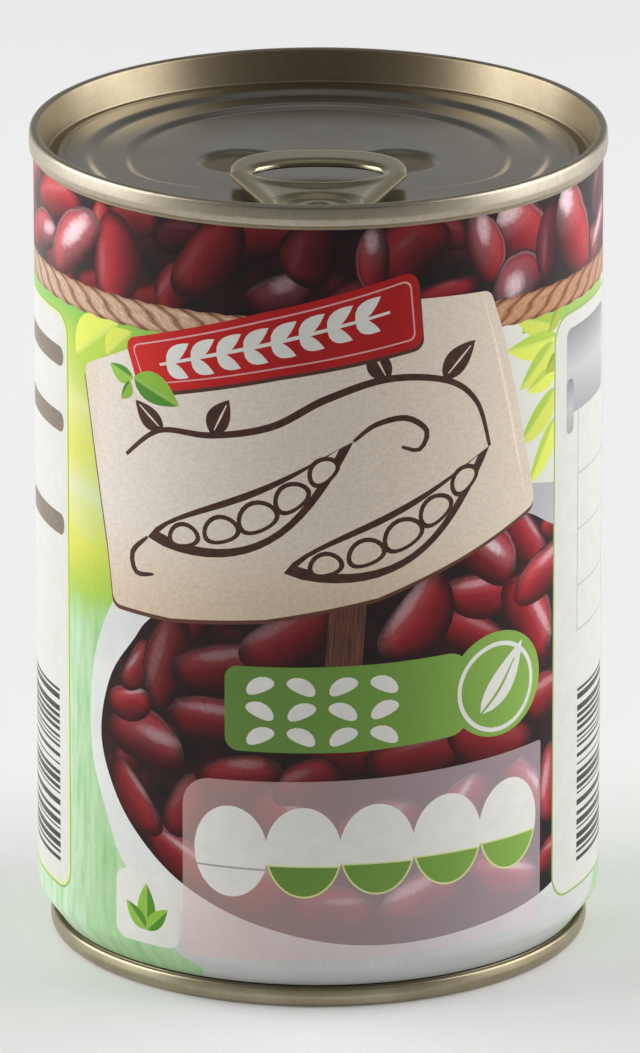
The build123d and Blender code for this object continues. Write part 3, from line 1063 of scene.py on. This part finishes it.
def paint_red(tree):
    """Deep red, brighter to the left."""
    flat = map_of(tree, "flat")
    s, _ = parts_of(tree, flat)
    soft = noise(tree, flat, 16, 2.0)
    base = ramp(tree, soft, [(0.35, 176, 20, 22), (0.65, 192, 28, 28)])
    return blend(tree, fade(tree, s, -0.27, 0.02, 0.5, 0.0), base, srgb(238, 44, 36))


def paint_pale(tree):
    """Off-white ink, pinker or greener by its hue."""
    hue = look_of(tree)[3]
    soft = noise(tree, map_of(tree, "flat"), 40, 2.0)
    white = ramp(tree, soft, [(0.3, 236, 235, 228), (0.7, 242, 241, 235)])
    pink = blend(tree, fade(tree, hue, 0.6, 1.0), white, srgb(250, 190, 190))
    return blend(tree, fade(tree, hue, 0.4, 0.0), pink, srgb(226, 236, 160))


def paint_banner(tree):
    """Leaf green, lighter to the right."""
    flat = map_of(tree, "flat")
    s, _ = parts_of(tree, flat)
    cloud = maths(tree, "MULTIPLY", noise(tree, flat, 14, 2.0), 0.15)
    sweep = maths(tree, "ADD", fade(tree, s, -0.12, 0.33, 0.0, 0.9, False), cloud)
    return ramp(tree, sweep, [(0.1, 104, 142, 62), (0.55, 120, 162, 68), (1.0, 150, 192, 88)])


def paint_grey(tree):
    """Grey, lightest half-way up the shape."""
    _, across = parts_of(tree, map_of(tree, "swell"))
    rise = fade(tree, across, -1.0, 1.0, 0, 1, False)
    return ramp(tree, rise, [(0.0, 168, 170, 172), (0.5, 206, 208, 208), (1.0, 150, 152, 156)])


def clouded(scale, detail, *stops):
    """A paint that wanders between a few near colours."""
    def paint(tree):
        return ramp(tree, noise(tree, map_of(tree, "flat"), scale, detail), stops)
    return paint


paints = {
    "bare_lacquer": paint_bare,
    "meadow": paint_meadow,
    "white_field": paint_white,
    "bean_gap": clouded(22, 3.0, (0.4, 16, 7, 9), (0.62, 44, 10, 14), (0.78, 84, 18, 22)),
    "bean_skin": paint_bean,
    "rope_fibre": paint_rope,
    "leaf_green": paint_leaf,
    "bowl_china": paint_china,
    "dark_wood": paint_wood,
    "kraft_card": paint_card,
    "brown_ink": clouded(90, 2.0, (0.3, 62, 38, 30), (0.7, 84, 54, 42)),
    "plate_red": paint_red,
    "pale_ink": paint_pale,
    "banner_green": paint_banner,
    "grey_ink": paint_grey,
    "stripe_brown": clouded(90, 2.0, (0.3, 146, 130, 112), (0.7, 160, 144, 126)),
    "dark_ink": clouded(90, 2.0, (0.3, 26, 24, 26), (0.7, 38, 35, 36)),
}
grits = {"bean_skin": 0.09, "bean_gap": 0.05, "rope_fibre": 0.05, "plate_red": 0.02, "pale_ink": 0.006,
         "white_field": 0.006, "brown_ink": 0.06}
for name in inks:
    print_ink(name, paints[name], grits.get(name, 0.02))
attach(printed_wall, "root")
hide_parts("can_body")


# The base: a stamped tinplate end, gold-lacquered, with stepped rings that let it flex, and
# folded round the foot of the wall in a double seam.
ring_segments = 256


def turned(name, profile):
    """A round piece raised ring by ring along a profile that starts and ends on the axis."""
    radius, height = profile[0]
    bpy.ops.mesh.primitive_circle_add(vertices=ring_segments, radius=radius * MM, fill_type="TRIFAN",
                                      location=(0, 0, 0))
    piece = bpy.context.object
    piece.name = name
    edit(piece)
    bpy.ops.transform.translate(value=(0, 0, height * MM))
    bpy.ops.mesh.region_to_loop()
    for next_radius, next_height in profile[1:]:
        raise_ring(radius, height, next_radius, next_height)
        radius, height = next_radius, next_height
    close_ring()
    close_edit()
    bpy.ops.object.shade_smooth_by_angle(angle=math.radians(28))
    piece.data.materials.clear()
    return piece


def stepped(low_radius, low, high_radius, high, count=8):
    """A soft step between two levels, as a short run of the profile."""
    run = []
    for k in range(count + 1):
        t = k / count
        height = low + (high - low) * t * t * (3 - 2 * t)
        run.append((low_radius + (high_radius - low_radius) * t, height))
    return run


def rings(first, last, height, gap=1.2):
    """Flat metal between two radii, as a run of the profile without its ends."""
    count = max(1, int(abs(last - first) / gap))
    return [(first + (last - first) * k / count, height) for k in range(1, count)]


def brushed_metal(name, tint, worn_tint, roughness, speck):
    """Rolled tinplate under lacquer: a faint grain, small specks, and a patchy shine."""
    metal, tree, shader = new_material(name)
    place = wire(tree, "TexCoord").outputs["Object"]
    cloud = noise(tree, place, 90, 3.0)
    grain = noise(tree, place, 900, 2.0, 0.6, (0.25, 4.0, 4.0))
    colour = blend(tree, fade(tree, cloud, 0.25, 0.75), tint, worn_tint)
    specks = noise(tree, place, 1300, 3.0, 0.6)
    fleck = fade(tree, specks, 0.3, 0.7, 1.0 - speck, 1.0 + speck, False)
    tree.links.new(multiplied(tree, colour, grey(tree, fleck)), shader.inputs["Base Color"])
    shader.inputs["Metallic"].default_value = 1.0
    grain_part = maths(tree, "MULTIPLY", grain, 0.10)
    cloud_part = maths(tree, "MULTIPLY", cloud, 0.08)
    dull = maths(tree, "ADD", maths(tree, "ADD", grain_part, cloud_part), roughness - 0.09)
    tree.links.new(dull, shader.inputs["Roughness"])
    bump = wire(tree, "Bump", {"Height": grain, "Strength": 0.05, "Distance": 0.0001})
    tree.links.new(bump.outputs[0], shader.inputs["Normal"])
    return metal


base_line = [(1.0, 5.0)] + rings(1.0, 12.4, 5.0)
ring_step = 0.4
for start, level, first, last in [(12.4, 5.0, 13.6, 18.4), (18.4, 4.6, 19.6, 24.4), (24.4, 4.2, 25.6, 31.6)]:
    below = level - ring_step
    base_line += stepped(start, level, first, below) + rings(first, last, below)
foot_inside = foot_radius - gauge
base_line += bent([(31.6, 3.8), (32.1, 4.2, 0.3), (33.1, 4.2, 0.35), (34.12, 0.0, 0.25), (34.55, 0.0, 0.4),
                   (35.15, 0.42, 0.8), (35.4, 1.4, 1.5), (35.2, 2.5, 0.4), (34.95, 2.72, 0.12),
                   (34.6, 1.95, 0.12), (foot_radius, wall_foot), (foot_inside, wall_foot),
                   (foot_inside, bottom_end_seat)], 6)
base_line += [(1.0, bottom_end_seat)]
base_end = turned("base_end", base_line)
base_lacquer = brushed_metal("base_lacquer", srgb(176, 168, 144), srgb(152, 142, 116), 0.32, 0.06)
base_end.data.materials.append(base_lacquer)
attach(base_end, "root")
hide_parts("bottom_end")


# The easy-open end: one stamping, folded round the top of the wall. Inside the seam it drops
# to a deep groove, and its panel has a score line, a step, a hollow for the tab, two finger
# wells and a raised pad that the rivet is drawn from.
panel_level = 105.2
panel_radius = 33.4
panel_rings = 120
rivet_y = -27.3
wall_inside = wall_radius - gauge
seam_line = bent([(wall_inside, top_end_seat), (wall_inside, wall_top), (37.5, wall_top, 0.25),
                  (37.6, 107.2, 1.6), (37.48, 109.0, 0.5), (36.35, 109.0, 0.45), (35.3, 104.8, 0.35),
                  (34.3, 104.8, 0.3), (33.8, panel_level, 0.25), (panel_radius, panel_level)], 8)
panel_line = [(panel_radius * (1 - k / panel_rings), panel_level) for k in range(1, panel_rings)]
opening_end = turned("opening_end", [(1.0, top_end_seat)] + seam_line + panel_line)


def soft(value, low, high):
    """0 below low and 1 above high, with a smooth rise between them."""
    t = np.clip((value - low) / (high - low), 0.0, 1.0)
    return t * t * t * (t * (6 * t - 15) + 10)


def panel_height(x, y):
    """Height of the panel above its edge, in millimetres."""
    reach = np.hypot(x, y)
    score_line = 0.1 * (1 - soft(np.abs(reach - 33.2), 0.04, 0.2))
    step = 0.45 * (1 - soft(reach, 28.7, 30.7))
    z = -score_line - step

    # The hollow for the tab: a disc with a straight side, its corners rounded
    corner = 9.0
    side = reach - 25.3 + corner
    cut = -15.2 - y + corner
    outside = np.hypot(np.maximum(side, 0), np.maximum(cut, 0)) - corner
    edge = outside + np.minimum(np.maximum(side, cut), 0)
    z = z - 0.45 * (1 - soft(edge, -1.4, 0.1))
    for well in (-10.08, 10.08):
        z = z - 0.6 * (1 - soft(np.hypot((x - well) * 0.95, y + 0.4), 3.3, 5.9))

    # The pad that the rivet is drawn from
    pad = 6.4
    from_rivet = np.hypot(x, y - rivet_y)
    return np.where(from_rivet < pad, np.maximum(z, -0.9 * soft(from_rivet, 4.7, pad)), z)


for vert in opening_end.data.vertices:
    on_panel = math.hypot(vert.co.x, vert.co.y) < panel_radius * MM + 1e-6
    if on_panel and vert.co.z > 105 * MM:
        vert.co.z = (panel_level + float(panel_height(vert.co.x / MM, vert.co.y / MM))) * MM
opening_end.data.update()
gold_lacquer = brushed_metal("gold_lacquer", srgb(160, 149, 125), srgb(149, 134, 109), 0.36, 0.06)
# A lighter copy of the gold lacquer for the seam: painted highlight
seam_painted_light = brushed_metal("seam_painted_light", srgb(186, 178, 160), srgb(175, 165, 145), 0.36, 0.08)
panel_grey = brushed_metal("panel_lacquer", srgb(182, 178, 168), srgb(172, 167, 154), 0.2, 0.03)
for lacquer in (gold_lacquer, panel_grey, seam_painted_light):
    opening_end.data.materials.append(lacquer)

# The panel is greyer than the groove round it, and the seam is lighter: painted highlight, a lighter copy of
# the same gold lacquer
for face in opening_end.data.polygons:
    reach = math.hypot(face.center.x, face.center.y) / MM
    if reach < 33.9 and face.center.z > 104 * MM:
        face.material_index = 1
    elif reach > 36.5:
        face.material_index = 2
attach(opening_end, "root")
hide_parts("top_end")


# The ring pull: a strip of steel with its edges curled under all round, open for a finger at
# the back, and a tongue at the nose that the rivet holds down.
tab_middle = 106.35
tab_half = 0.65
curl_reach = 1.35
shoulder = []
for k in range(1, 40):
    turn = math.pi * k / 40
    swing = math.copysign(abs(math.cos(turn)) ** 0.8, math.cos(turn))
    shoulder.append((11.4 * swing, -12.6 + 9.0 * math.sin(turn) ** 0.8))
nose = [(-5.5, -32.4, 4.4), (5.5, -32.4, 4.4), (11.4, -14.6, 1.4), (11.4, -12.6)]
tab_corners = bent(nose + shoulder + [(-11.4, -12.6), (-11.4, -14.6, 1.4)], 8)
hole_corners = disc(0, -13.9, 16.7, 9.4, 72)


def evened(corners, gap):
    """The same closed outline with evenly spaced corners."""
    loop = np.array(corners + [corners[0]])
    lengths = np.hypot(*np.diff(loop, axis=0).T)
    travel = np.concatenate([[0], np.cumsum(lengths)])
    count = int(travel[-1] / gap)
    marks = np.linspace(0, travel[-1], count, endpoint=False)
    return np.stack([np.interp(marks, travel, loop[:, axis]) for axis in (0, 1)], axis=1)


def distance_to(outline, places):
    """How far each place is from a closed outline."""
    runs = np.roll(outline, -1, axis=0) - outline
    best = np.full(len(places), 1e9)
    for start, run in zip(outline, runs):
        offset = places - start
        share = np.clip(offset @ run / (run @ run), 0, 1)
        gap = offset - share[:, None] * run
        best = np.minimum(best, np.hypot(gap[:, 0], gap[:, 1]))
    return best


def inside(outline, places):
    """True where a place lies within a closed outline."""
    within = np.zeros(len(places), dtype=bool)
    ends = np.roll(outline, -1, axis=0)
    for (x0, y0), (x1, y1) in zip(outline, ends):
        if y0 == y1:
            continue
        crosses = (places[:, 1] < y0) != (places[:, 1] < y1)
        crossing = x0 + (places[:, 1] - y0) * (x1 - x0) / (y1 - y0)
        within ^= crosses & (places[:, 0] < crossing)
    return within


outer_edge = evened(tab_corners, 0.4)
hole_edge = evened(hole_corners, 0.4)


def offset_ring(outline, depth):
    """The outline moved to its own left by a small depth."""
    ahead = np.roll(outline, -1, axis=0) - np.roll(outline, 1, axis=0)
    ahead /= np.hypot(ahead[:, 0], ahead[:, 1])[:, None]
    return outline + np.stack([-ahead[:, 1], ahead[:, 0]], axis=1) * depth


# Rings of points close together on the curled edges, and a grid with every other row shifted
# by half its gap over the flat between them
curl_depths = [0.0, 0.03, 0.1, 0.22, 0.4, 0.62, 0.88, 1.15]
tab_places = [offset_ring(outer_edge, depth) for depth in curl_depths]
tab_places += [offset_ring(hole_edge, -depth) for depth in curl_depths]
grid_gap = 0.36
grid_x, grid_y = np.meshgrid(np.arange(-11.6, 11.6, grid_gap), np.arange(-32.4, -3.6, grid_gap))
odd_row = np.arange(grid_x.size) // grid_x.shape[1] % 2
grid = np.stack([grid_x.ravel() + 0.5 * grid_gap * odd_row, grid_y.ravel()], axis=1)
clear = inside(outer_edge, grid) & ~inside(hole_edge, grid)
for edge in (outer_edge, hole_edge):
    clear &= distance_to(edge, grid) > curl_reach
tab_places.append(grid[clear])
tab_points = np.concatenate(tab_places)
outer_count = len(outer_edge)
hole_start = len(curl_depths) * outer_count
hole_count = len(hole_edge)
outer_face = list(range(outer_count))
hole_face = list(range(hole_start, hole_start + hole_count))
tab_cut = delaunay_2d_cdt([Vector(p) for p in tab_points], [], [outer_face, hole_face], 0, 1e-6, True)
flat = np.array([tuple(p) for p in tab_cut[0]])
tab_faces = [face for face, held in zip(tab_cut[2], tab_cut[5]) if 0 in held and 1 not in held]


def curl(depth):
    """Half thickness of the curled edge at a depth in from it."""
    reach = np.clip(depth / curl_reach, 0, 1)
    return tab_half * np.sqrt(1 - (1 - reach) ** 2)


# The web sags a little behind the rivet, the tongue dips to it, and the tongue's slot is a
# shallow groove round it; the two sides of the tab meet along both edges
tab_x, tab_y = flat.T
edge_depth = np.minimum(distance_to(outer_edge, flat), distance_to(hole_edge, flat))
rivet_gap = np.hypot(tab_x, tab_y - rivet_y)
web_wide = 10.5 - 0.26 * np.maximum(-14.0 - tab_y, 0)
web_bow = np.clip(1 - (tab_x / web_wide) ** 2, 0, 1)
web_drop = 0.55 * web_bow * soft(edge_depth, 0.5, 3.0) * soft(-tab_y, 17.0, 20.5)
tongue = 105.8 + 0.6 * soft(rivet_gap, 3.7, 5.2) + 3.0 * soft(rivet_gap, 5.0, 7.4)
slot_ring = 0.08 * (1 - soft(np.abs(rivet_gap - 4.2), 0.05, 0.5)) * soft(tab_y, -30.6, -28.0)
top_side = np.minimum(tab_middle + curl(edge_depth) - web_drop, tongue) - slot_ring
low_side = np.minimum(tab_middle - curl(edge_depth), top_side - 0.25)
on_edge = edge_depth < 0.004

tab_mesh = bpy.data.meshes.new("pull_tab")
count = len(flat)
tab_verts = []
for side in (top_side, low_side):
    side = np.where(on_edge, tab_middle, side)
    tab_verts += [(x * MM, y * MM, z * MM) for (x, y), z in zip(flat, side)]
under_faces = [[corner + count for corner in reversed(face)] for face in tab_faces]
tab_mesh.from_pydata(tab_verts, [], [list(face) for face in tab_faces] + under_faces)
ring_pull = bpy.data.objects.new("ring_pull", tab_mesh)
bpy.context.scene.collection.objects.link(ring_pull)
edit(ring_pull)
bpy.ops.mesh.remove_doubles(threshold=1e-7)
bpy.ops.mesh.delete_loose()
close_edit()
bpy.ops.object.shade_smooth_by_angle(angle=math.radians(60))
tab_lacquer = brushed_metal("tab_lacquer", srgb(196, 187, 156), srgb(184, 175, 144), 0.225, 0.05)
tab_mesh.materials.append(tab_lacquer)
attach(ring_pull, "root")
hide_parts("pull_tab")


# The rivet: a button of the end's own lacquered steel, drawn up from the panel through the
# tongue and pressed flat over it, with a dimple where the punch met it.
rivet_line = bent([(1.0, panel_level), (2.0, panel_level), (2.0, 105.6), (2.9, 105.65, 0.2),
                   (2.9, 106.1, 0.22), (1.7, 106.15, 0.6), (1.2, 105.95, 0.5), (0.4, 105.9)], 5)
rivet = turned("rivet", rivet_line)
edit(rivet)
bpy.ops.transform.translate(value=(0, rivet_y * MM, 0))
bpy.ops.object.mode_set(mode="OBJECT")
rivet.data.materials.append(tab_lacquer)
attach(rivet, "root")
